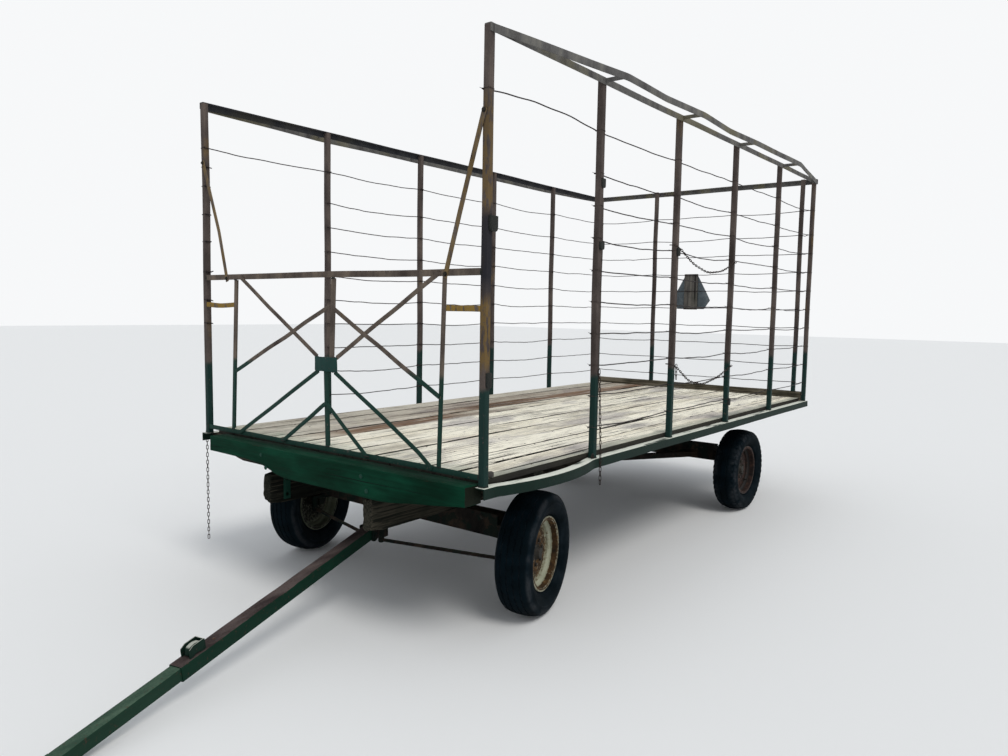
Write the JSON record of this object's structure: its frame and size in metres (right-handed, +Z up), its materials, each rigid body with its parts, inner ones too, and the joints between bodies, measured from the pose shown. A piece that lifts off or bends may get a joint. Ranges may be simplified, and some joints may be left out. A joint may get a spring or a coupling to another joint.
{
  "type": "hay wagon",
  "caption": "Flat plank-deck hay wagon with an open rack of steel posts and wires, steered running gear with tyred wheels, and a telescoping tongue.",
  "frame": {"origin": "the middle of the deck's top face", "axes": "+Z up, the front and the tongue towards -Y, +X to the wagon's left"},
  "size_m": [2.74, 6.983, 3.135],
  "materials": {
    "deck_wood": "weathered bare planks",
    "frame_wood": "dark weathered timber",
    "green_timber": "worn green paint",
    "rack_steel": "rusted, green paint left near the deck",
    "rail_steel": "dull dark green paint",
    "gate_steel": "rusted, dark green below",
    "wire_steel": "rusted wire",
    "chain_steel": "rusted links",
    "sign_face": "faded orange",
    "gear_steel": "dirty dark green paint",
    "tongue_steel": "green paint, rust on top",
    "tyre_rubber": "worn tyre",
    "rim_cream": "cream paint with rust",
    "rim_green": "grey-green paint with rust",
    "rim_brown": "dark rusted paint"
  },
  "bodies": {
    "wagon": {"deck_planks": "deck_wood", "cross_bearers": "frame_wood", "front_beam": "green_timber", "rear_board": "frame_wood", "main_sills": "frame_wood", "sill_straps": "rail_steel", "edge_rail_left": "rail_steel", "edge_rail_right": "rail_steel", "posts_left": "rack_steel", "posts_right": "rack_steel", "posts_rear": "rack_steel", "top_rail_left": "rack_steel", "top_rail_right": "rack_steel", "top_rail_rear": "rack_steel", "bow_rails": "rack_steel", "gate_frame": "gate_steel", "gate_braces": "gate_steel", "post_braces": "gate_steel", "wires_left": "wire_steel", "wires_right": "wire_steel", "wires_rear": "wire_steel", "rack_chains": "chain_steel", "rear_sign": "sign_face", "bolsters": "gear_steel", "axle_front": "gear_steel", "axle_rear": "gear_steel", "reach_pole": "gear_steel", "hounds": "gear_steel"},
    "steering_yoke": {"steering_yoke": "tongue_steel"},
    "tongue": {"tongue_sleeve": "tongue_steel", "tongue_latch": "tongue_steel"},
    "drawbar": {"tongue_bar": "tongue_steel"},
    "knuckle_left": {"knuckle_left": "gear_steel"},
    "tie_rod_left": {"tie_rod_left": "gear_steel"},
    "wheel_front_left": {"tyre_front_left": "tyre_rubber", "rim_front_left": "rim_cream"},
    "wheel_rear_left": {"tyre_rear_left": "tyre_rubber", "rim_rear_left": "rim_brown"},
    "knuckle_right": {"knuckle_right": "gear_steel"},
    "tie_rod_right": {"tie_rod_right": "gear_steel"},
    "wheel_front_right": {"tyre_front_right": "tyre_rubber", "rim_front_right": "rim_green"},
    "wheel_rear_right": {"tyre_rear_right": "tyre_rubber", "rim_rear_right": "rim_brown"}
  },
  "joints": [
    {"name": "tongue_yaw", "type": "hinge", "parent": "wagon", "child": "steering_yoke", "pos_m": [0, -2.055, -0.49], "axis": [0, 0, 1], "range_deg": [-48.5, 21.5]},
    {"name": "tongue_pitch", "type": "hinge", "parent": "steering_yoke", "child": "tongue", "pos_m": [0.04435, -2.23975, -0.55], "axis": [-0.9724, -0.2334, 0], "range_deg": [0, 22]},
    {"name": "tongue_slide", "type": "slide", "parent": "tongue", "child": "drawbar", "axis": [0.2302, -0.9588, -0.1667], "range_m": [-0.35, 0]},
    {"name": "knuckle_left_turn", "type": "hinge", "parent": "wagon", "child": "knuckle_left", "pos_m": [0.87, -1.835, -0.49], "axis": [0, 0, 1], "range_deg": [-48.5, 21.5]},
    {"name": "tie_rod_left_turn", "type": "hinge", "parent": "steering_yoke", "child": "tie_rod_left", "pos_m": [0.05057, -2.1457, -0.622], "axis": [0, 0, 1], "range_deg": [-21.5, 48.5]},
    {"name": "wheel_front_left_spin", "type": "hinge", "parent": "knuckle_left", "child": "wheel_front_left", "pos_m": [0.99641, -1.80465, -0.585], "axis": [0.9724, 0.2334, 0], "continuous": true},
    {"name": "wheel_rear_left_spin", "type": "hinge", "parent": "wagon", "child": "wheel_rear_left", "pos_m": [1, 1.415, -0.585], "axis": [1, 0, 0], "continuous": true},
    {"name": "knuckle_right_turn", "type": "hinge", "parent": "wagon", "child": "knuckle_right", "pos_m": [-0.87, -1.835, -0.49], "axis": [0, 0, 1], "range_deg": [-48.5, 21.5]},
    {"name": "tie_rod_right_turn", "type": "hinge", "parent": "steering_yoke", "child": "tie_rod_right", "pos_m": [-0.00388, -2.15877, -0.622], "axis": [0, 0, 1], "range_deg": [-21.5, 48.5]},
    {"name": "wheel_front_right_spin", "type": "hinge", "parent": "knuckle_right", "child": "wheel_front_right", "pos_m": [-0.99641, -1.86535, -0.585], "axis": [0.9724, 0.2334, 0], "continuous": true},
    {"name": "wheel_rear_right_spin", "type": "hinge", "parent": "wagon", "child": "wheel_rear_right", "pos_m": [-1, 1.415, -0.585], "axis": [1, 0, 0], "continuous": true}
  ],
  "couplings": [
    {"joint": "knuckle_left_turn", "follows": "tongue_yaw", "ratio": 1},
    {"joint": "tie_rod_left_turn", "follows": "tongue_yaw", "ratio": -1},
    {"joint": "knuckle_right_turn", "follows": "tongue_yaw", "ratio": 1},
    {"joint": "tie_rod_right_turn", "follows": "tongue_yaw", "ratio": -1}
  ]
}
